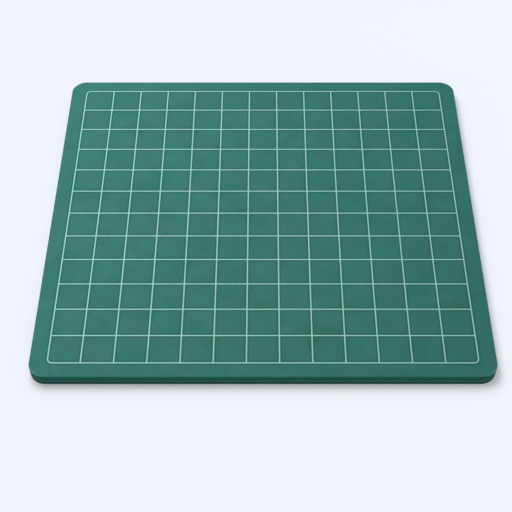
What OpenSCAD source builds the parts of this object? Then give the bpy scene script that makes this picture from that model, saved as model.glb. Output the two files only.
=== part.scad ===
// Flexible cutting mat: a sheet of five laminated plies with a square grid printed on its top face.
// All lengths are millimetres. The origin is the middle of the underside, +X runs along the long
// side, +Y runs to the far edge and +Z points up, out of the cutting face.

/* [Printed grid] */
// Side of one printed square, from line centre to line centre
cell = 10; // [5:0.5:20]
// Number of squares along X
cells_across = 13; // [4:1:20]
// Number of squares along Y
cells_deep = 12; // [4:1:20]
// Width of every printed line
line_w = 0.4; // [0.2:0.05:1]
// Thickness of the ink film, pressed flush into the top skin
ink_t = 0.05; // [0.02:0.01:0.1]
// Outer radius of the border line's corners
border_r = 1.7; // [1.2:0.1:4]

/* [Sheet outline] */
// Bare margin left and right, from the border line's centre to the edge
side_margin = 5.5; // [4:0.5:30]
// Bare margin front and back, from the border line's centre to the edge
end_margin = 5; // [4:0.5:30]
// Radius of the sheet's four corners
corner_r = 5; // [2:0.5:10]
// Radius that the top and bottom edges are eased to
edge_r = 0.15; // [0.1:0.05:0.5]

/* [Plies] */
// Thickness of the skin that rests on the table
bottom_skin_t = 1; // [0.6:0.05:1.5]
// Thickness of the soft healing ply behind each skin
healing_t = 0.6; // [0.3:0.05:1.5]
// Thickness of the stiff core
core_t = 1.1; // [0.4:0.1:3]
// Thickness of the skin that takes the blade
top_skin_t = 0.7; // [0.6:0.05:1.5]

/* [Hidden] */

// Facets drawn on a full circle
$fn = 96;

// Length by which a cutting shape passes the surface that it cuts
overshoot = 1;

// The printed field, measured between the centres of the border lines
grid_w = cell * cells_across;
grid_d = cell * cells_deep;

// The sheet
mat_w = grid_w + 2 * side_margin;
mat_d = grid_d + 2 * end_margin;

// Height of the underside of each ply, from the table up
bottom_skin_z = 0;
lower_healing_z = bottom_skin_z + bottom_skin_t;
core_z = lower_healing_z + healing_t;
upper_healing_z = core_z + core_t;
top_skin_z = upper_healing_z + healing_t;
cutting_face_z = top_skin_z + top_skin_t;

// Colours of the plies and of the ink
skin_green = "#3c786a";
healing_green = "#2f6a5d";
core_green = "#4a7a70";
ink_mint = "#a0d4ca";

// A copy of the children in each of the four quarters, mirrored from the one at +X and +Y
module four_quarters() {
  for (flip_x = [0, 1], flip_y = [0, 1])
    mirror([flip_x, 0, 0]) mirror([0, flip_y, 0]) children();
}

// A rectangle centred on the origin, with arcs of radius r at its corners
module rounded_outline(w, d, r) {
  difference() {
    square([w, d], center = true);
    four_quarters()
      translate([w / 2 - r, d / 2 - r]) corner_scrap(r);
  }
}

// What a corner arc of radius r leaves of the square around it, plus the overshoot
module corner_scrap(r) {
  difference() {
    square(r + overshoot);
    circle(r);
  }
}

// One ply of the sheet, t thick, with its underside at height z
module ply(z, t) {
  translate([0, 0, z])
    linear_extrude(height = t) rounded_outline(mat_w, mat_d, corner_r);
}

// Everything outside the eased edge round the top of a ply whose top lies at height 0
module edge_scrap() {
  four_quarters() {
    translate([mat_w / 2 - corner_r, mat_d / 2 - corner_r])
      rotate_extrude(angle = 90) translate([corner_r - edge_r, -edge_r]) corner_scrap(edge_r);
    side_scrap(mat_d / 2 - corner_r, mat_w / 2);
    mirror([1, -1, 0]) side_scrap(mat_w / 2 - corner_r, mat_d / 2);
  }
}

// The same for half of one straight side: run long, at distance reach from the middle of the sheet
module side_scrap(run, reach) {
  translate([reach - edge_r, run, -edge_r])
    rotate([90, 0, 0]) linear_extrude(height = run) corner_scrap(edge_r);
}

// The printed net, t thick from height z up: the border line with the column and row lines in it
module grid_net(z, t) {
  translate([0, 0, z])
    linear_extrude(height = t)
      difference() {
        rounded_outline(grid_w + line_w, grid_d + line_w, border_r);
        intersection() {
          rounded_outline(grid_w - line_w, grid_d - line_w, border_r - line_w);
          bare_squares();
        }
      }
}

// The squares left bare between the lines, centred on the origin
module bare_squares() {
  for (column = [0 : cells_across - 1], row = [0 : cells_deep - 1])
    translate([(column + 0.5) * cell - grid_w / 2, (row + 0.5) * cell - grid_d / 2])
      square(cell - line_w, center = true);
}

// The skin that rests on the table, eased round its lower edge
module bottom_skin() {
  color(skin_green)
    difference() {
      ply(bottom_skin_z, bottom_skin_t);
      translate([0, 0, bottom_skin_z]) mirror([0, 0, 1]) edge_scrap();
    }
}

// The soft ply between the bottom skin and the core
module lower_healing_ply() {
  color(healing_green) ply(lower_healing_z, healing_t);
}

// The harder ply in the middle, which keeps the sheet flat
module stiff_core() {
  color(core_green) ply(core_z, core_t);
}

// The soft ply between the core and the top skin
module upper_healing_ply() {
  color(healing_green) ply(upper_healing_z, healing_t);
}

// The skin that takes the blade, eased round its upper edge, with the ink's bed pressed into it
module top_skin() {
  color(skin_green)
    difference() {
      ply(top_skin_z, top_skin_t);
      translate([0, 0, cutting_face_z]) edge_scrap();
      grid_net(cutting_face_z - ink_t, ink_t + overshoot);
    }
}

// The ink film, flush with the cutting face
module printed_grid() {
  color(ink_mint) grid_net(cutting_face_z - ink_t, ink_t);
}

bottom_skin();
lower_healing_ply();
stiff_core();
upper_healing_ply();
top_skin();
printed_grid();
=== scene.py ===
"""Dresses the flexible cutting mat: a five-ply laminated sheet with a printed square grid.

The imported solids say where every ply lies. This script rebuilds the plies as finer surfaces, with a
pressed bed for the ink and a softly eased cut edge, gives each ply and the ink film its own finish,
and lays the sheet on a pale table under one soft lamp, seen from the front and above.
"""

import logging
import math
from abc import ABC, abstractmethod
from dataclasses import dataclass, field
from enum import Enum

import bpy
import numpy as np
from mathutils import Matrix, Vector


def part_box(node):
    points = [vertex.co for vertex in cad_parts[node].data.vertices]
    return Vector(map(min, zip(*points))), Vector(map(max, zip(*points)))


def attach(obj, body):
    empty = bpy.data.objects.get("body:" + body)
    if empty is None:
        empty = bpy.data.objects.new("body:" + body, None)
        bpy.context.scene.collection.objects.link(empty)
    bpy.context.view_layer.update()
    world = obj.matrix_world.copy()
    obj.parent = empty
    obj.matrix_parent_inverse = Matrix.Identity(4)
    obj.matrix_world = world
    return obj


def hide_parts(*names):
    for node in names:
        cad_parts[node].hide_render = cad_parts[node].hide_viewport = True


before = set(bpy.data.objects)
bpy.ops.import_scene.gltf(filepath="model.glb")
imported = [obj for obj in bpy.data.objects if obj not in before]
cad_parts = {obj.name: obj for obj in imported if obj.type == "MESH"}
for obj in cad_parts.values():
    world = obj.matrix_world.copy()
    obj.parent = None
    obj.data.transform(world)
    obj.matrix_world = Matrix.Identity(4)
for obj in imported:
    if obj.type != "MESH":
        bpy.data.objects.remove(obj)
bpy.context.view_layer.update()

LOG = logging.getLogger("cutting_mat")
MM = 0.001
BODY = "root"

# A distance from the ink at which nothing is near it
FAR = 1.0
# Places are rounded to this many decimals of a metre, so that two equal ones count once
PLACE_DECIMALS = 8
# The value about which the noise in a material goes up and down
NOISE_MIDDLE = 0.5
BLACK = (0.0, 0.0, 0.0, 1.0)


class Ply(Enum):
    """The five plies from the table up, by the name of the solid that each one dresses."""

    BOTTOM_SKIN = "bottom_skin"
    LOWER_HEALING = "lower_healing_ply"
    CORE = "stiff_core"
    UPPER_HEALING = "upper_healing_ply"
    TOP_SKIN = "top_skin"


class Slot(Enum):
    """The record's material slots."""

    SKIN = "skin_pvc"
    HEALING = "healing_pvc"
    CORE = "core_pvc"
    INK = "grid_ink"


def linear_colour(hex_code: str) -> tuple[float, float, float, float]:
    """Turns an sRGB colour into the linear one that a shader takes.

    The curve is a straight one for the darkest values and a power of 2.4 above them.

    Args:
        hex_code: Six hex digits after a hash sign.

    Returns:
        Linear red, green, blue and an alpha of one.
    """
    parts = np.array([int(hex_code[i : i + 2], 16) for i in (1, 3, 5)]) / 255
    linear = np.where(parts <= 0.04045, parts / 12.92, ((parts + 0.055) / 1.055) ** 2.4)
    return (*linear.tolist(), 1.0)


def add_node(tree: bpy.types.NodeTree, kind: str, inputs: dict | None = None,
             **settings) -> bpy.types.Node:
    """Adds one shader node with its settings, values and links.

    Args:
        tree: The node tree that takes the node.
        kind: The node's type name.
        inputs: Name or number of a socket, to its value or to what feeds it. That is another node's
            output, or the node itself, which stands for its first output in use.
        **settings: Properties of the node itself.

    Returns:
        The new node.
    """
    node = tree.nodes.new(kind)
    for name, value in settings.items():
        setattr(node, name, value)
    for key, value in (inputs or {}).items():
        if isinstance(key, int):
            socket = node.inputs[key]
        else:
            socket = next(s for s in node.inputs if s.enabled and s.name == key)
        if isinstance(value, bpy.types.Node):
            value = next(s for s in value.outputs if s.enabled)
        if isinstance(value, bpy.types.NodeSocket):
            tree.links.new(value, socket)
        else:
            socket.default_value = value
    return node


@dataclass(frozen=True)
class SheetSizes:
    """The mat's real sizes in metres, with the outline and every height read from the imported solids."""

    # Half the sheet along X and Y, and half the printed field between the border line's middles
    half_w: float
    half_d: float
    grid_half_w: float
    grid_half_d: float
    # Heights of each ply's underside and top
    heights: dict[Ply, tuple[float, float]]
    cells_across: int = 13
    cells_deep: int = 12
    line_w: float = 0.4 * MM
    # Radius of the middle of the border line at its corners
    border_r: float = 1.5 * MM
    # Radii of the sheet's corners and of its eased top and bottom edges
    corner_r: float = 5.0 * MM
    edge_r: float = 0.15 * MM

    @classmethod
    def from_frame(cls) -> "SheetSizes":
        """Reads the outline, the printed field and the plies' heights from the frame.

        Returns:
            The sizes, with the rest at their defaults.
        """
        _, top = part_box(Ply.TOP_SKIN.value)
        _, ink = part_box("printed_grid")
        heights = {}
        for ply in Ply:
            low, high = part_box(ply.value)
            heights[ply] = (low.z, high.z)
        half_line = cls.line_w / 2
        return cls(top.x, top.y, ink.x - half_line, ink.y - half_line, heights)

    @property
    def cell(self) -> float:
        """The side of one printed square."""
        return 2 * self.grid_half_w / self.cells_across

    @property
    def face_z(self) -> float:
        """The height of the cutting face."""
        return self.heights[Ply.TOP_SKIN][1]

    def cut_shares(self, levels: np.ndarray) -> np.ndarray:
        """Says how far the sheet's edge is cut wall at each height, from none at the faces to one.

        On the eased edges it is the share of the quarter turn, whose cosine is one less the depth under
        the nearer face over the edge's radius. Past them it stays one.

        Args:
            levels: Heights over the table.

        Returns:
            A share from zero to one for each height.
        """
        depths = np.clip(np.minimum(levels, self.face_z - levels), 0, self.edge_r)
        return np.arccos(1 - depths / self.edge_r) / (math.pi / 2)


@dataclass(frozen=True)
class Outline:
    """An outline like the sheet's: four straight sides joined by four circular arcs."""

    half_w: float
    half_d: float
    radius: float

    def half_side(self, half_run: float) -> float:
        """Measures along half a side, half_run long with its corner square, to its arc's middle."""
        return half_run - self.radius + self.radius * math.pi / 4

    def side(self, reach: float, half_run: float, along: np.ndarray) -> tuple[np.ndarray, np.ndarray]:
        """Follows one side from the middle of one corner arc to the middle of the next.

        A point is on the straight while its distance from the side's middle is under half the side less
        the radius. What is left of the distance, divided by the radius, is its angle round the arc.

        Args:
            reach: Distance of the side from the sheet's middle.
            half_run: Half the length of the side with its corners square.
            along: Distances from the side's middle, negative before it.

        Returns:
            Points and outward normals, each as pairs of (outwards, forwards along the side).
        """
        straight = half_run - self.radius
        angle = np.clip(np.abs(along) - straight, 0, None) / self.radius
        forwards = np.sign(along) * (np.minimum(np.abs(along), straight) + self.radius * np.sin(angle))
        outwards = reach - self.radius + self.radius * np.cos(angle)
        points = np.stack([outwards, forwards], axis=1)
        normals = np.stack([np.cos(angle), np.sign(along) * np.sin(angle)], axis=1)
        return points, normals

    def around(self, along_w: np.ndarray, along_d: np.ndarray) -> tuple[np.ndarray, np.ndarray]:
        """Follows the whole outline once, counter-clockwise from above, from the right side on.

        Args:
            along_w: Distances along the sides that run in X, from the side's middle, in rising order.
            along_d: The same along the sides that run in Y.

        Returns:
            Points and outward normals in X and Y. Each side leaves its last point to the next side.
        """
        places, facings = [], []
        sides = [(self.half_w, self.half_d, along_d), (self.half_d, self.half_w, along_w)] * 2
        for quarter, (reach, half_run, along) in enumerate(sides):
            points, normals = self.side(reach, half_run, along[:-1])
            turn = quarter * math.pi / 2
            spin = np.array([[math.cos(turn), math.sin(turn)], [-math.sin(turn), math.cos(turn)]])
            places.append(points @ spin)
            facings.append(normals @ spin)
        return np.concatenate(places), np.concatenate(facings)

    def in_steps(self, straight_step: float, arc_steps: int) -> tuple[np.ndarray, np.ndarray]:
        """Follows the whole outline, evenly on its straights and closer round its corners.

        Args:
            straight_step: About how far apart the points lie on a straight.
            arc_steps: How many steps half a corner arc takes.

        Returns:
            Points and outward normals in X and Y, as around() gives them.
        """
        stations = []
        for half_run in (self.half_w, self.half_d):
            straight = half_run - self.radius
            steps = round(2 * straight / straight_step)
            corner = np.linspace(straight, self.half_side(half_run), arc_steps + 1)[1:]
            middle = np.linspace(-straight, straight, steps + 1)
            stations.append(np.concatenate([-corner[::-1], middle, corner]))
        return self.around(*stations)


@dataclass
class SurfaceBuilder:
    """Collects points and faces, loop by loop, and turns them into one mesh.

    Loops are counter-clockwise from above and are given from the middle of the underside outwards, up
    the wall and in again over the top, so that every face points out of the solid. For its finish, each
    point carries how far it lies on the cut edge and its distance from the ink.
    """

    points: list[np.ndarray] = field(default_factory=list)
    cuts: list[np.ndarray] = field(default_factory=list)
    ink_gaps: list[np.ndarray] = field(default_factory=list)
    faces: list[list[int]] = field(default_factory=list)
    count: int = 0

    def add_points(self, points: np.ndarray, cut: float = 0.0,
                   ink_gap: float | np.ndarray = FAR) -> np.ndarray:
        """Adds points to the mesh.

        Args:
            points: Rows of X, Y and Z.
            cut: How far the points lie on the cut edge.
            ink_gap: Their distance from the ink, one for all or one for each.

        Returns:
            The points' numbers.
        """
        numbers = np.arange(self.count, self.count + len(points))
        self.points.append(points)
        self.cuts.append(np.full(len(points), cut))
        self.ink_gaps.append(np.broadcast_to(ink_gap, len(points)))
        self.count += len(points)
        return numbers

    def places(self, numbers: np.ndarray) -> np.ndarray:
        """Returns X and Y of the numbered points."""
        return np.concatenate(self.points)[numbers, :2]

    def join(self, before: np.ndarray, after: np.ndarray) -> None:
        """Joins two loops of equal length with one quad for each step round them."""
        quads = np.stack([before, np.roll(before, -1), np.roll(after, -1), after], axis=1)
        self.faces.extend(quads.tolist())

    def sweep(self, rings: list[np.ndarray], levels: np.ndarray,
              cuts: np.ndarray) -> tuple[np.ndarray, np.ndarray]:
        """Adds rings of points at their heights and joins each one to the next.

        Args:
            rings: X and Y of each ring's points, all rings of equal length.
            levels: The height of each ring.
            cuts: How far each ring lies on the cut edge.

        Returns:
            The numbers of the first ring's points and of the last ring's.
        """
        loops = []
        for ring, level, cut in zip(rings, levels, cuts):
            loops.append(self.add_points(np.column_stack([ring, np.full(len(ring), level)]), cut))
        for before, after in zip(loops, loops[1:]):
            self.join(before, after)
        return loops[0], loops[-1]

    def close(self, loop: np.ndarray, level: float, top: bool) -> None:
        """Fills a loop with triangles to one point on the sheet's middle axis.

        Args:
            loop: The loop's point numbers.
            level: The height of the loop and the point.
            top: True if the loop is the last one, on the top, and False if it is the first.
        """
        hub = np.full(len(loop), self.add_points(np.array([[0.0, 0.0, level]]))[0])
        ahead = np.roll(loop, -1)
        triangles = [loop, ahead, hub] if top else [ahead, loop, hub]
        self.faces.extend(np.stack(triangles, axis=1).tolist())

    def add_grid(self, points: np.ndarray, ink_gap: np.ndarray) -> np.ndarray:
        """Adds a grid of points, rows along Y and columns along X, with a quad in each of its spaces.

        Args:
            points: Array of rows by columns by 3.
            ink_gap: Distance of each point from the ink, as rows by columns.

        Returns:
            The numbers of the points on the grid's rim, in a loop that starts at the right side.
        """
        rows, columns = points.shape[:2]
        numbers = self.add_points(points.reshape(-1, 3), ink_gap=ink_gap.ravel()).reshape(rows, columns)
        corners = [numbers[:-1, :-1], numbers[:-1, 1:], numbers[1:, 1:], numbers[1:, :-1]]
        self.faces.extend(np.stack(corners, axis=-1).reshape(-1, 4).tolist())
        rim = [numbers[:-1, -1], numbers[-1, :0:-1], numbers[:0:-1, 0], numbers[0, :-1]]
        return np.concatenate(rim)

    def build(self, name: str) -> bpy.types.Object:
        """Makes the object and links it to the scene.

        Args:
            name: The object's name.

        Returns:
            The object, at the origin and with smooth faces.
        """
        mesh = bpy.data.meshes.new(name)
        mesh.from_pydata(np.concatenate(self.points).tolist(), [], self.faces)
        mesh.polygons.foreach_set("use_smooth", np.ones(len(mesh.polygons), dtype=bool))
        for key, values in {"cut": self.cuts, "ink_gap": self.ink_gaps}.items():
            layer = mesh.attributes.new(key, "FLOAT", "POINT")
            layer.data.foreach_set("value", np.concatenate(values).astype(np.float32))
        mesh.update()
        piece = bpy.data.objects.new(name, mesh)
        bpy.context.scene.collection.objects.link(piece)
        return piece


@dataclass(frozen=True)
class WallProfile:
    """The cut edge of one ply from its underside to its top: an arc, a straight and an arc."""

    low_z: float
    high_z: float
    low_r: float
    high_r: float
    arc_steps: int = 8
    straight_steps: int = 3

    def rings(self) -> tuple[np.ndarray, np.ndarray]:
        """Follows the profile upwards.

        On an arc of radius r the angle a runs through a quarter turn. The inset from the outline is
        r (1 - sin a) below and r (1 - cos a) above, and the height changes by r (1 - cos a) and r sin a.

        Returns:
            Insets from the outline and heights, one pair for each loop.
        """
        turn = np.linspace(0, math.pi / 2, self.arc_steps + 1)
        low_inset = self.low_r * (1 - np.sin(turn))
        low_z = self.low_z + self.low_r * (1 - np.cos(turn))
        high_inset = self.high_r * (1 - np.cos(turn))
        high_z = self.high_z - self.high_r * (1 - np.sin(turn))
        middle_z = np.linspace(low_z[-1], high_z[0], self.straight_steps + 1)[1:-1]
        insets = np.concatenate([low_inset, np.zeros_like(middle_z), high_inset])
        return insets, np.concatenate([low_z, middle_z, high_z])


@dataclass(frozen=True)
class Finish(ABC):
    """What one real material looks like, as a node-based material.

    A subclass names the material and its process, and builds its colour, roughness and bump.
    """

    name: str
    slot: Slot

    @abstractmethod
    def dress(self) -> bpy.types.Material:
        """Builds the material."""

    def start(self) -> tuple[bpy.types.Material, bpy.types.NodeTree, bpy.types.NodeSocket]:
        """Makes an empty material.

        Returns:
            The material, its tree and the object's own coordinates.
        """
        material = bpy.data.materials.new(self.name)
        material.use_nodes = True
        material.node_tree.nodes.clear()
        place = add_node(material.node_tree, "ShaderNodeTexCoord").outputs["Object"]
        return material, material.node_tree, place

    def stand_for(self, piece: bpy.types.Object, ply: Ply) -> None:
        """Dresses a piece, hides the solid that it replaces, and hangs it on the body that it rides on.

        Args:
            piece: The finished piece.
            ply: The ply whose solid it replaces.
        """
        piece.data.materials.append(self.dress())
        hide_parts(ply.value)
        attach(piece, BODY)


@dataclass(frozen=True)
class CalenderedPvc(Finish):
    """Plasticised PVC sheet, rolled hot with a fine matt pebble and then cut with a die.

    The eye gets a soft green that clouds towards grey in places, with a trace of filler dust in it, a
    faint sheen, a painted shade beside each printed line, a painted highlight along the rims of the
    corners, and a deeper green cut edge.
    """

    clear: str
    grey: str
    cut: str
    sheet: SheetSizes
    dust: str = "#382934"
    # Colour of the painted highlight at the rims of the corners
    corner_highlight_colour: str = "#70b1a5"
    roughness: float = 0.72
    specular: float = 0.2
    ior: float = 1.53
    # Where on the roll the skin was cut from, because no two skins carry the same clouds
    cut_from: tuple[float, float, float] = (0.0, 0.0, 0.0)
    # Breadths of the grey clouds and of the dusty ones, from the uneven take-up of pigment and filler
    cloud: float = 7.0 * MM
    dusty_cloud: float = 5.5 * MM
    # Finer layers in the clouds' edges
    cloud_detail: float = 4.0
    # The noise either side of its middle over which a cloud goes from none to full
    cloud_window: float = 0.16
    # The dusty clouds are read this far off, so that they don't follow the grey ones
    aside: tuple[float, float, float] = (0.3, 0.1, 0.0)
    dust_share: float = 0.15
    # Breadth and depth of the rolls' pebble, about twice the real one's so that it shows
    pebble: float = 0.35 * MM
    pebble_depth: float = 0.03 * MM
    pebble_detail: float = 3.0
    pebble_strength: float = 0.9
    # Breadth of the rubbed patches in which the roughness goes up and down by the swing
    rub: float = 0.6 * MM
    rub_swing: float = 0.05
    # The noise either side of its middle over which the roughness goes from its least to its most
    rub_window: float = 0.2
    # The painted shade beside a printed line is full this far from the ink, and gone at the second
    painted_shade_full: float = 0.42 * MM
    painted_shade_gone: float = 0.75 * MM
    # How much darker the painted shade beside a line is than the open face
    painted_shade_depth: float = 0.24
    # The painted highlight's breadth from the edge inwards, and how far the rim is gone over to its
    # colour
    highlight_breadth: float = 0.75 * MM
    highlight_share: float = 0.42
    # How far round from an arc's ends the painted highlight starts, and is full
    highlight_starts: float = 1.0 * MM
    highlight_full: float = 3.0 * MM

    def corner_highlight(self, tree: bpy.types.NodeTree, place: bpy.types.NodeSocket) -> bpy.types.Node:
        """Adds nodes that tell how much painted highlight the face takes, as it does at the rims of its
        four corners.

        The point is mirrored to the quarter at +X and +Y and measured from the middle of the corner arc
        there, without its height. Its distance says how near the rim it is, and the lesser of its X and
        Y how far round the arc.

        Args:
            tree: The node tree that takes the nodes.
            place: The point on the sheet.

        Returns:
            A node that goes from zero on the open face to the painted highlight's share at a corner's
            rim.
        """
        radius = self.sheet.corner_r
        middle = (self.sheet.half_w - radius, self.sheet.half_d - radius, 0.0)
        no_height = (1.0, 1.0, 0.0)
        quarter = add_node(tree, "ShaderNodeVectorMath", {0: place}, operation="ABSOLUTE")
        away = add_node(tree, "ShaderNodeVectorMath", {0: quarter, 1: middle}, operation="SUBTRACT")
        flat = add_node(tree, "ShaderNodeVectorMath", {0: away, 1: no_height}, operation="MULTIPLY")
        reach = add_node(tree, "ShaderNodeVectorMath", {0: flat}, operation="LENGTH")
        near = add_node(tree, "ShaderNodeMapRange", {
            "Value": reach, "From Min": radius - self.highlight_breadth, "From Max": radius})
        ways = add_node(tree, "ShaderNodeSeparateXYZ", {"Vector": flat}).outputs
        lesser = add_node(tree, "ShaderNodeMath", {0: ways["X"], 1: ways["Y"]}, operation="MINIMUM")
        full = add_node(tree, "ShaderNodeMapRange", {
            "Value": lesser,
            "From Min": self.highlight_starts,
            "From Max": self.highlight_full,
            "To Max": self.highlight_share,
        })
        return add_node(tree, "ShaderNodeMath", {0: near, 1: full}, operation="MULTIPLY")

    def dress(self) -> bpy.types.Material:
        """Builds the material: clouds, the painted shade at the ink, the painted highlight at the
        corners, the cut edge, then rub and pebble.

        Returns:
            The material.
        """
        material, tree, place = self.start()
        corner_highlight = self.corner_highlight(tree, place)
        place = add_node(tree, "ShaderNodeMapping", {"Vector": place, "Location": self.cut_from})
        cloud_from = NOISE_MIDDLE - self.cloud_window
        cloud_to = NOISE_MIDDLE + self.cloud_window
        hue = add_node(tree, "ShaderNodeTexNoise", {
            "Vector": place, "Scale": 1 / self.cloud, "Detail": self.cloud_detail})
        hue = add_node(tree, "ShaderNodeMapRange", {
            "Value": hue, "From Min": cloud_from, "From Max": cloud_to})
        clouded = add_node(tree, "ShaderNodeMix", {
            "Factor": hue,
            "A": linear_colour(self.clear),
            "B": linear_colour(self.grey),
        }, data_type="RGBA")

        aside = add_node(tree, "ShaderNodeMapping", {"Vector": place, "Location": self.aside})
        dusty = add_node(tree, "ShaderNodeTexNoise", {
            "Vector": aside, "Scale": 1 / self.dusty_cloud, "Detail": self.cloud_detail})
        dusty = add_node(tree, "ShaderNodeMapRange", {
            "Value": dusty, "From Min": cloud_from, "From Max": cloud_to, "To Max": self.dust_share})
        dulled = add_node(tree, "ShaderNodeMix", {
            "Factor": dusty,
            "A": clouded,
            "B": linear_colour(self.dust),
        }, data_type="RGBA")

        # Painted shade: a darker band beside each printed line, standing in for shadow at the edge of the
        # ink's bed
        gap = add_node(tree, "ShaderNodeAttribute", attribute_name="ink_gap").outputs["Fac"]
        painted_line_shade = add_node(tree, "ShaderNodeMapRange", {
            "Value": gap,
            "From Min": self.painted_shade_full,
            "From Max": self.painted_shade_gone,
            "To Min": self.painted_shade_depth,
            "To Max": 0.0,
        })
        shaded = add_node(tree, "ShaderNodeMix", {
            "Factor": painted_line_shade, "A": dulled, "B": BLACK}, data_type="RGBA")
        # Painted highlight: the rims of the corners are paler, as if their eased edge caught the light
        highlighted = add_node(tree, "ShaderNodeMix", {
            "Factor": corner_highlight,
            "A": shaded,
            "B": linear_colour(self.corner_highlight_colour),
        }, data_type="RGBA")
        cut = add_node(tree, "ShaderNodeAttribute", attribute_name="cut").outputs["Fac"]
        colour = add_node(tree, "ShaderNodeMix", {
            "Factor": cut,
            "A": highlighted,
            "B": linear_colour(self.cut),
        }, data_type="RGBA")

        rubbed = add_node(tree, "ShaderNodeTexNoise", {"Vector": place, "Scale": 1 / self.rub})
        roughness = add_node(tree, "ShaderNodeMapRange", {
            "Value": rubbed,
            "From Min": NOISE_MIDDLE - self.rub_window,
            "From Max": NOISE_MIDDLE + self.rub_window,
            "To Min": self.roughness - self.rub_swing,
            "To Max": self.roughness + self.rub_swing,
        })
        pebble = add_node(tree, "ShaderNodeTexNoise", {
            "Vector": place, "Scale": 1 / self.pebble, "Detail": self.pebble_detail})
        bump = add_node(tree, "ShaderNodeBump", {
            "Height": pebble, "Strength": self.pebble_strength, "Distance": self.pebble_depth})
        shader = add_node(tree, "ShaderNodeBsdfPrincipled", {
            "Base Color": colour,
            "Roughness": roughness,
            "Normal": bump,
            "IOR": self.ior,
            "Specular IOR Level": self.specular,
        })
        add_node(tree, "ShaderNodeOutputMaterial", {"Surface": shader})
        return material


@dataclass(frozen=True)
class CutPvc(Finish):
    """The die-cut edge of an inner PVC ply.

    The eye gets a dull band of one green with fine upright drag marks, a little shinier than the face.
    """

    body: str
    streak: str
    roughness: float = 0.7
    specular: float = 0.08
    ior: float = 1.53
    # Breadth of a drag mark, drawn some three times coarser than the real one so that it shows
    drag: float = 0.35 * MM
    drag_depth: float = 0.02 * MM
    drag_strength: float = 0.25
    # The noise either side of its middle over which the body's colour goes to the streak's
    drag_window: float = 0.15
    # A mark is this many times as tall as it is broad
    upright: float = 12.5

    def dress(self) -> bpy.types.Material:
        """Builds the material from one noise that is stretched upright.

        Returns:
            The material.
        """
        material, tree, place = self.start()
        stretched = add_node(tree, "ShaderNodeMapping", {
            "Vector": place, "Scale": (1.0, 1.0, 1 / self.upright)})
        drag = add_node(tree, "ShaderNodeTexNoise", {"Vector": stretched, "Scale": 1 / self.drag})
        shade = add_node(tree, "ShaderNodeMapRange", {
            "Value": drag,
            "From Min": NOISE_MIDDLE - self.drag_window,
            "From Max": NOISE_MIDDLE + self.drag_window,
        })
        colour = add_node(tree, "ShaderNodeMix", {
            "Factor": shade,
            "A": linear_colour(self.body),
            "B": linear_colour(self.streak),
        }, data_type="RGBA")
        bump = add_node(tree, "ShaderNodeBump", {
            "Height": drag, "Strength": self.drag_strength, "Distance": self.drag_depth})
        shader = add_node(tree, "ShaderNodeBsdfPrincipled", {
            "Base Color": colour,
            "Roughness": self.roughness,
            "Normal": bump,
            "IOR": self.ior,
            "Specular IOR Level": self.specular,
        })
        add_node(tree, "ShaderNodeOutputMaterial", {"Surface": shader})
        return material


@dataclass(frozen=True)
class ScreenInk(Finish):
    """Vinyl screen ink, printed once and pressed flush.

    The eye gets an even pale mint line with a slightly shinier skin than the sheet, and a trace of grey
    where the film lies thinner over the pebble.
    """

    ink: str
    thin: str
    roughness: float = 0.6
    specular: float = 0.25
    ior: float = 1.5
    # Breadth of the stretches along a line where the squeegee left more or less ink
    cover: float = 8.0 * MM
    cover_detail: float = 4.0
    # The noise either side of its middle over which full ink goes to thin
    cover_window: float = 0.15
    # Breadth and depth of the sheet's pebble, which the film fills in part
    pebble: float = 0.35 * MM
    pebble_depth: float = 0.02 * MM
    pebble_strength: float = 0.2

    def dress(self) -> bpy.types.Material:
        """Builds the material from the ink's cover and the pebble that shows through.

        Returns:
            The material.
        """
        material, tree, place = self.start()
        cover = add_node(tree, "ShaderNodeTexNoise", {
            "Vector": place, "Scale": 1 / self.cover, "Detail": self.cover_detail})
        cover = add_node(tree, "ShaderNodeMapRange", {
            "Value": cover,
            "From Min": NOISE_MIDDLE - self.cover_window,
            "From Max": NOISE_MIDDLE + self.cover_window,
        })
        colour = add_node(tree, "ShaderNodeMix", {
            "Factor": cover,
            "A": linear_colour(self.ink),
            "B": linear_colour(self.thin),
        }, data_type="RGBA")
        pebble = add_node(tree, "ShaderNodeTexNoise", {"Vector": place, "Scale": 1 / self.pebble})
        bump = add_node(tree, "ShaderNodeBump", {
            "Height": pebble, "Strength": self.pebble_strength, "Distance": self.pebble_depth})
        shader = add_node(tree, "ShaderNodeBsdfPrincipled", {
            "Base Color": colour,
            "Roughness": self.roughness,
            "Normal": bump,
            "IOR": self.ior,
            "Specular IOR Level": self.specular,
        })
        add_node(tree, "ShaderNodeOutputMaterial", {"Surface": shader})
        return material


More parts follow.
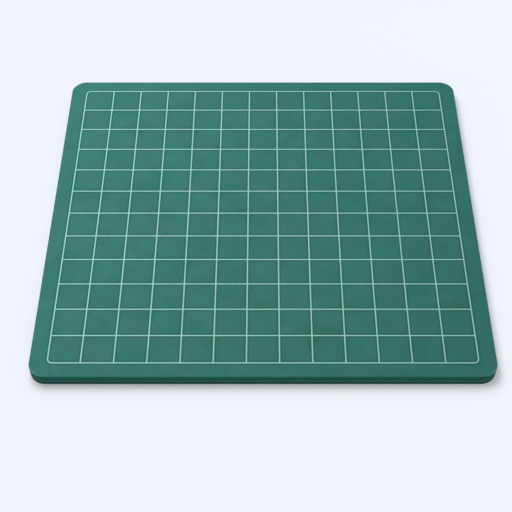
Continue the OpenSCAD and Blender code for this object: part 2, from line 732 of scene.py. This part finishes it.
@dataclass
class PlainPly:
    """One ply whose faces are flat: the bottom skin, a healing ply or the core."""

    sizes: SheetSizes
    ply: Ply
    finish: Finish
    # Radius to which the blade leaves each ply's edge at the joint with the next one
    joint_r: float = 0.06 * MM
    # How far the ply's edge stands back from the others
    recess: float = 0.0
    # Distance between the outline's points on a straight, and steps in half a corner arc
    straight_step: float = 4 * MM
    arc_steps: int = 10
    # Shares of the outline at which the flat faces carry a ring of points
    flat_shares: tuple[float, ...] = (0.2, 0.45, 0.7, 0.88, 0.97)

    def build(self) -> bpy.types.Object:
        """Builds the ply as rings from the middle of its underside, up its edge and over its top.

        Returns:
            The dressed piece.
        """
        sizes = self.sizes
        low_z, high_z = sizes.heights[self.ply]
        low_r = sizes.edge_r if self.ply is Ply.BOTTOM_SKIN else self.joint_r
        insets, heights = WallProfile(low_z, high_z, low_r, self.joint_r).rings()
        reach = [size - self.recess for size in (sizes.half_w, sizes.half_d, sizes.corner_r)]
        places, facings = Outline(*reach).in_steps(self.straight_step, self.arc_steps)

        flats = [places * share for share in self.flat_shares]
        wall = [places - facings * inset for inset in insets]
        low_levels = np.full(len(flats), low_z)
        high_levels = np.full(len(flats), high_z)
        levels = np.concatenate([low_levels, heights, high_levels])
        builder = SurfaceBuilder()
        first, last = builder.sweep([*flats, *wall, *flats[::-1]], levels, sizes.cut_shares(levels))
        builder.close(first, low_z, top=False)
        builder.close(last, high_z, top=True)
        piece = builder.build(f"{self.ply.value}_sheet")
        self.finish.stand_for(piece, self.ply)
        return piece


@dataclass
class TopSkin:
    """The skin that takes the blade, with the ink's bed pressed into its face."""

    sizes: SheetSizes
    finish: Finish
    # Radius to which the blade leaves the skin's edge at the joint with the ply below
    joint_r: float = 0.06 * MM
    # The bed lies this much under the face, a hair more than the film is thick
    bed_depth: float = 0.055 * MM
    # The face dips this much towards the ink's edge, and has risen again by about the reach
    lip_depth: float = 0.015 * MM
    lip_reach: float = 0.25 * MM
    # Half the width over which the face drops into the bed
    step: float = 0.01 * MM
    # Half-width of the strip either side of a line that carries close-set points
    strip: float = 0.8 * MM
    # Distances from a line's middle at which the points of its strip lie, past the drop into the bed
    strip_points: tuple[float, ...] = (0.28 * MM, 0.38 * MM, 0.52 * MM)
    # Shares of a square, between two strips, at which it carries a point
    square_shares: tuple[float, ...] = (0.2, 0.4, 0.6, 0.8)
    # Stations that the arc of the border line adds near each corner of the field
    arc_stations: int = 12
    # Where the points of the field's rim start to fan out round the corner arcs, from the field's corner
    fan: float = 5 * MM
    # Shares of the outline at which the underside carries a ring of points
    under_shares: tuple[float, ...] = (0.3, 0.6, 0.85)
    # Shares of the way in over the margin, from the eased edge to the field, that carry a ring
    margin_shares: tuple[float, ...] = (0.5, 0.8)

    def line_stations(self, half_run: float, cells: int) -> np.ndarray:
        """Places the grid's points across the lines: close-set at each line, sparse in the squares.

        Args:
            half_run: Distance from the middle to the border line's centre.
            cells: Number of squares between the border lines.

        Returns:
            Coordinates in rising order.
        """
        half_line = self.sizes.line_w / 2
        away = np.array([half_line - self.step, half_line + self.step, *self.strip_points, self.strip])
        centres = np.linspace(-half_run, half_run, cells + 1)
        near = centres[:, None] + np.concatenate([-away[::-1], away])
        square = self.sizes.cell - 2 * self.strip
        between = centres[:-1, None] + self.strip + square * np.array(self.square_shares)
        arc = np.linspace(self.strip, self.strip + self.sizes.border_r, self.arc_stations + 1)[1:]
        stations = np.concatenate([near.ravel(), between.ravel(), arc - half_run, half_run - arc])
        return np.unique(np.round(stations, PLACE_DECIMALS))

    def ink_gap(self, x: np.ndarray, y: np.ndarray) -> np.ndarray:
        """Measures how far each point is from the ink, negative inside it.

        The border line is the set of points within half a line of a rectangle with rounded corners. Each
        column and row line is a long thin box. The nearest of these counts.

        Args:
            x: X of each point.
            y: Y of each point.

        Returns:
            Distances in metres.
        """
        sizes = self.sizes
        half_line = sizes.line_w / 2
        past_x = np.abs(x) - sizes.grid_half_w + sizes.border_r
        past_y = np.abs(y) - sizes.grid_half_d + sizes.border_r
        outside = np.hypot(np.maximum(past_x, 0), np.maximum(past_y, 0))
        inside = np.minimum(np.maximum(past_x, past_y), 0)
        border = np.abs(outside + inside - sizes.border_r) - half_line
        columns = self.nearest_line(x, sizes.grid_half_w, sizes.cells_across)
        columns = np.maximum(columns - half_line, np.abs(y) - sizes.grid_half_d)
        rows = self.nearest_line(y, sizes.grid_half_d, sizes.cells_deep)
        rows = np.maximum(rows - half_line, np.abs(x) - sizes.grid_half_w)
        return np.minimum(border, np.minimum(columns, rows))

    def nearest_line(self, place: np.ndarray, half_run: float, cells: int) -> np.ndarray:
        """Measures the distance to the nearest line inside the border, along one axis."""
        number = np.clip(np.round((place + half_run) / self.sizes.cell), 1, cells - 1)
        return np.abs(place + half_run - number * self.sizes.cell)

    def face_height(self, gap: np.ndarray) -> np.ndarray:
        """Gives the height of the face at a distance from the ink.

        Inside the ink it is the bed. Outside, it is the face less a dip that fades with the square of
        the distance, as a bell curve. The two are joined by a straight step.

        Args:
            gap: Distances from the ink, negative inside it.

        Returns:
            Heights over the table.
        """
        inside = np.clip((self.step - gap) / (2 * self.step), 0, 1)
        dip = self.lip_depth * np.exp(-((np.maximum(gap, 0) / self.lip_reach) ** 2))
        return self.sizes.face_z - inside * self.bed_depth - (1 - inside) * dip

    def fanned(self, stations: np.ndarray, half_side: float) -> np.ndarray:
        """Carries the rim's points out to the sheet's outline.

        A point keeps its own coordinate until it is near the field's corner. From there the points share
        out what is left of the side and half the corner arc, in proportion.

        Args:
            stations: Coordinates of the rim's points along one side, rising.
            half_side: Length from the side's middle to the middle of its corner arc.

        Returns:
            Distances along the outline from the side's middle.
        """
        start = stations[-1] - self.fan
        share = np.clip((np.abs(stations) - start) / self.fan, 0, 1)
        stretched = start + share * (half_side - start)
        return np.where(np.abs(stations) <= start, stations, np.sign(stations) * stretched)

    def build(self) -> bpy.types.Object:
        """Builds the face as one height field, and the underside, edge and margin as rings round it.

        Returns:
            The dressed piece.
        """
        sizes = self.sizes
        low_z, high_z = sizes.heights[Ply.TOP_SKIN]
        x_stations = self.line_stations(sizes.grid_half_w, sizes.cells_across)
        y_stations = self.line_stations(sizes.grid_half_d, sizes.cells_deep)
        outline = Outline(sizes.half_w, sizes.half_d, sizes.corner_r)
        along_w = self.fanned(x_stations, outline.half_side(outline.half_w))
        along_d = self.fanned(y_stations, outline.half_side(outline.half_d))
        places, facings = outline.around(along_w, along_d)
        insets, heights = WallProfile(low_z, high_z, self.joint_r, sizes.edge_r).rings()

        under = [places * share for share in self.under_shares]
        wall = [places - facings * inset for inset in insets]
        levels = np.concatenate([np.full(len(under), low_z), heights])
        builder = SurfaceBuilder()
        first, last = builder.sweep([*under, *wall], levels, sizes.cut_shares(levels))
        builder.close(first, low_z, top=False)

        x, y = np.meshgrid(x_stations, y_stations)
        gap = self.ink_gap(x, y)
        rim = builder.add_grid(np.stack([x, y, self.face_height(gap)], axis=-1), gap)
        for share in self.margin_shares:
            ring = wall[-1] + share * (builder.places(rim) - wall[-1])
            points = np.column_stack([ring, np.full(len(ring), high_z)])
            loop = builder.add_points(points, ink_gap=self.ink_gap(ring[:, 0], ring[:, 1]))
            builder.join(last, loop)
            last = loop
        builder.join(last, rim)

        piece = builder.build("top_skin_sheet")
        self.finish.stand_for(piece, Ply.TOP_SKIN)
        return piece


@dataclass
class PrintedGrid:
    """The ink film, whose solid is already the true net and keeps its shape."""

    finish: Finish

    def build(self) -> bpy.types.Object:
        """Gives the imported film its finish.

        Returns:
            The film.
        """
        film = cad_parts["printed_grid"]
        film.data.materials.clear()
        film.data.materials.append(self.finish.dress())
        return film


@dataclass(frozen=True)
class SoftLamp:
    """One round studio lamp behind the sheet, turned past its left side for an even fall of light."""

    # Where the middle of its disc hangs, and the point that the disc faces
    place: tuple[float, float, float] = (-0.185, 0.155, 0.44)
    aim: tuple[float, float, float] = (-0.395, -0.016, 0.0)
    # Breadth of the disc in metres, and its power in watts
    width: float = 0.46
    power: float = 2.68

    @property
    def facing(self) -> Vector:
        """The direction that the lamp's disc faces."""
        return (Vector(self.aim) - Vector(self.place)).normalized()

    def spots(self) -> list[Vector]:
        """Places four spots that stand for the disc, on its two axes at its radius over root two.

        Returns:
            The spots, one for each quarter of the lamp's power.
        """
        across = self.facing.orthogonal().normalized()
        along = self.facing.cross(across)
        arm = self.width / 2 / math.sqrt(2)
        return [Vector(self.place) + side * arm for side in (across, -across, along, -along)]

    def build(self) -> bpy.types.Object:
        """Makes the lamp.

        Returns:
            The lamp's object.
        """
        data = bpy.data.lights.new("key_lamp", "AREA")
        data.shape = "DISK"
        data.size = self.width
        data.energy = self.power
        lamp = bpy.data.objects.new("key_lamp", data)
        lamp.location = self.place
        lamp.rotation_euler = self.facing.to_track_quat("-Z", "Y").to_euler()
        bpy.context.scene.collection.objects.link(lamp)
        return lamp


@dataclass
class Studio:
    """A pale table that reads as one even tone, the lamp over it and a pale room around."""

    sizes: SheetSizes
    lamp: SoftLamp = field(default_factory=SoftLamp)
    backdrop: str = "#f2f6fc"
    # Light from all round, as the tone that a white surface has in it alone
    room_light: float = 0.35
    # How far the table runs to the left and right
    reach: float = 2.0
    # Distance between the points of its inner rim on a straight, and steps in half a corner arc
    rim_step: float = 20 * MM
    rim_arc_steps: int = 10
    # Of the tone that the camera sees, this share is light that the table's paper gives back
    share: float = 0.76
    # The paper gives back at most this much of the light that falls on it
    whitest: float = 0.9

    def build(self) -> list[bpy.types.Object]:
        """Lights the room, lays the table and hangs the lamp."""
        self.light_room()
        return [self.lay_table(), self.lamp.build()]

    def lay_table(self) -> bpy.types.Object:
        """Makes the table as a flat ring, open where the sheet rests, so that no face lies on another.

        Returns:
            The table's object.
        """
        sizes = self.sizes
        rests = [size - sizes.edge_r for size in (sizes.half_w, sizes.half_d, sizes.corner_r)]
        inner, _ = Outline(*rests).in_steps(self.rim_step, self.rim_arc_steps)
        outer = inner * (self.reach / sizes.half_w)
        builder = SurfaceBuilder()
        builder.sweep([outer, inner], levels=np.zeros(2), cuts=np.zeros(2))
        table = builder.build("table")
        table.data.materials.append(self.table_paper())
        return table

    def seen(self, tree: bpy.types.NodeTree) -> bpy.types.Node:
        """Adds nodes that tell what the camera sees, straight on, in gloss or through glass.

        Args:
            tree: The node tree that takes the nodes.

        Returns:
            A node that gives one there, and zero for all other light.
        """
        path = add_node(tree, "ShaderNodeLightPath").outputs
        gloss = add_node(tree, "ShaderNodeMath", {
            0: path["Is Camera Ray"], 1: path["Is Glossy Ray"]}, operation="MAXIMUM")
        return add_node(tree, "ShaderNodeMath", {
            0: gloss, 1: path["Is Transmission Ray"]}, operation="MAXIMUM")

    def light_room(self) -> None:
        """Makes the world: the backdrop's colour where it is seen, and plain soft light elsewhere."""
        world = bpy.data.worlds.new("room")
        world.use_nodes = True
        tree = world.node_tree
        tree.nodes.clear()
        colour = add_node(tree, "ShaderNodeMix", {
            "Factor": self.seen(tree),
            "A": (self.room_light, self.room_light, self.room_light, 1.0),
            "B": linear_colour(self.backdrop),
        }, data_type="RGBA")
        shader = add_node(tree, "ShaderNodeBackground", {"Color": colour})
        add_node(tree, "ShaderNodeOutputWorld", {"Surface": shader})
        bpy.context.scene.world = world

    def lamp_light(self, tree: bpy.types.NodeTree, place: bpy.types.NodeSocket, spot: Vector,
                   before: float | bpy.types.Node) -> bpy.types.Node:
        """Adds the light that a quarter of the lamp throws on the table, as if it came from one spot.

        It is the quarter's power over pi squared, times the spot's height over the distance, times the
        cosine at the lamp, over the distance squared.

        Args:
            tree: The node tree that takes the nodes.
            place: The point on the table.
            spot: The spot on the lamp.
            before: The light worked out so far.

        Returns:
            The light so far and this quarter's.
        """
        ray = add_node(tree, "ShaderNodeVectorMath", {0: spot, 1: place}, operation="SUBTRACT")
        length = add_node(tree, "ShaderNodeVectorMath", {0: ray}, operation="LENGTH")
        facing = add_node(tree, "ShaderNodeVectorMath", {0: ray, 1: -self.lamp.facing},
                          operation="DOT_PRODUCT")
        fourth = add_node(tree, "ShaderNodeMath", {0: length, 1: 4.0}, operation="POWER")
        shape = add_node(tree, "ShaderNodeMath", {0: facing, 1: fourth}, operation="DIVIDE")
        level = self.lamp.power / 4 / math.pi**2 * spot.z
        return add_node(tree, "ShaderNodeMath", {0: shape, 1: level, 2: before},
                        operation="MULTIPLY_ADD")

    def table_paper(self) -> bpy.types.Material:
        """Makes matt paper that reads as one even tone of the backdrop's colour, but for the shadow.

        The light on the bare table is the room's level and the lamp's, from four spots on its disc. The
        paper is a shade darker where there is more light, so that it gives back the same share
        everywhere, up to its whitest. The rest of the tone is added for the camera alone.

        Returns:
            The material.
        """
        material = bpy.data.materials.new("table_paper")
        material.use_nodes = True
        tree = material.node_tree
        tree.nodes.clear()
        place = add_node(tree, "ShaderNodeTexCoord").outputs["Object"]
        light = self.room_light
        for spot in self.lamp.spots():
            light = self.lamp_light(tree, place, spot, light)
        wanted = add_node(tree, "ShaderNodeMath", {0: self.share, 1: light}, operation="DIVIDE")
        paper = add_node(tree, "ShaderNodeMath", {0: wanted, 1: self.whitest}, operation="MINIMUM")
        given = add_node(tree, "ShaderNodeMath", {0: paper, 1: light}, operation="MULTIPLY")
        missing = add_node(tree, "ShaderNodeMath", {0: 1.0, 1: given}, operation="SUBTRACT")
        glow = add_node(tree, "ShaderNodeMath", {0: missing, 1: self.seen(tree)}, operation="MULTIPLY")
        backdrop = linear_colour(self.backdrop)
        tint = add_node(tree, "ShaderNodeVectorMath", {0: backdrop[:3], "Scale": paper},
                        operation="SCALE")
        matt = add_node(tree, "ShaderNodeBsdfDiffuse", {"Color": tint})
        shine = add_node(tree, "ShaderNodeEmission", {"Color": backdrop, "Strength": glow})
        both = add_node(tree, "ShaderNodeAddShader", {0: matt, 1: shine})
        add_node(tree, "ShaderNodeOutputMaterial", {"Surface": both})
        return material


@dataclass(frozen=True)
class PhotoCamera:
    """The camera at the photograph's viewing angle, above the sheet's front edge."""

    # Angle over the table and distance, both from the point at which it looks
    elevation_deg: float = 50.817
    distance: float = 355.6 * MM
    aim: tuple[float, float, float] = (0.0, -18.55 * MM, 4.0 * MM)
    lens_mm: float = 77.02
    # Width of the photograph, and how far its optical centre lies right of the middle, in pixels
    photo_px: int = 512
    centre_px: int = 7
    # Nearest and farthest distance that the camera sees
    near: float = 10 * MM
    far: float = 10.0

    def build(self) -> bpy.types.Object:
        """Makes the camera and hands it to the scene.

        Returns:
            The camera's object.
        """
        data = bpy.data.cameras.new("photo_camera")
        data.lens = self.lens_mm
        data.shift_x = -self.centre_px / self.photo_px
        data.clip_start = self.near
        data.clip_end = self.far
        camera = bpy.data.objects.new("photo_camera", data)
        lift = math.radians(self.elevation_deg)
        back = Vector((0.0, -math.cos(lift), math.sin(lift)))
        camera.location = Vector(self.aim) + back * self.distance
        camera.rotation_euler = (math.pi / 2 - lift, 0.0, 0.0)
        bpy.context.scene.collection.objects.link(camera)
        bpy.context.scene.camera = camera
        return camera


def main() -> None:
    """Builds every piece in order, from the table up, and reports each one."""
    logging.basicConfig(level=logging.INFO, format="%(name)s: %(message)s")
    sizes = SheetSizes.from_frame()
    face = {"clear": "#227060", "grey": "#2e7366", "sheet": sizes}
    top = CalenderedPvc("calendered_top_skin_pvc", Slot.SKIN, **face, cut="#166b5a")
    # The bottom skin's cut edge is its own green, darkened further by painted shade where the wall meets
    # the table
    bottom = CalenderedPvc("calendered_bottom_skin_pvc", Slot.SKIN, **face, cut="#074740", specular=0.1,
                           cut_from=(212 * MM, 94 * MM, 3.1 * MM))
    upper = CutPvc("soft_healing_pvc", Slot.HEALING, body="#0e5b4a", streak="#136051")
    core = CutPvc("filled_core_pvc", Slot.CORE, body="#26685b", streak="#2c6e61")
    # The lower healing ply is a paler, greyer green than the upper one
    lower = CutPvc("soft_healing_pvc_paler_lower", Slot.HEALING, body="#42726a", streak="#487870")
    ink = ScreenInk("vinyl_screen_ink", Slot.INK, ink="#83d0c0", thin="#94c9c0")
    assemblies = [
        PlainPly(sizes, Ply.BOTTOM_SKIN, bottom),
        PlainPly(sizes, Ply.LOWER_HEALING, lower),
        PlainPly(sizes, Ply.CORE, core, recess=0.02 * MM),
        PlainPly(sizes, Ply.UPPER_HEALING, upper),
        TopSkin(sizes, top),
        PrintedGrid(ink),
    ]
    for assembly in assemblies:
        piece = assembly.build()
        LOG.info("%s: %d triangles", piece.name, len(piece.data.loop_triangles))
    for fitting in Studio(sizes).build():
        LOG.info("%s placed", fitting.name)
    LOG.info("%s placed", PhotoCamera().build().name)
    bpy.context.scene.view_settings.view_transform = "Standard"


if __name__ == "__main__":
    main()
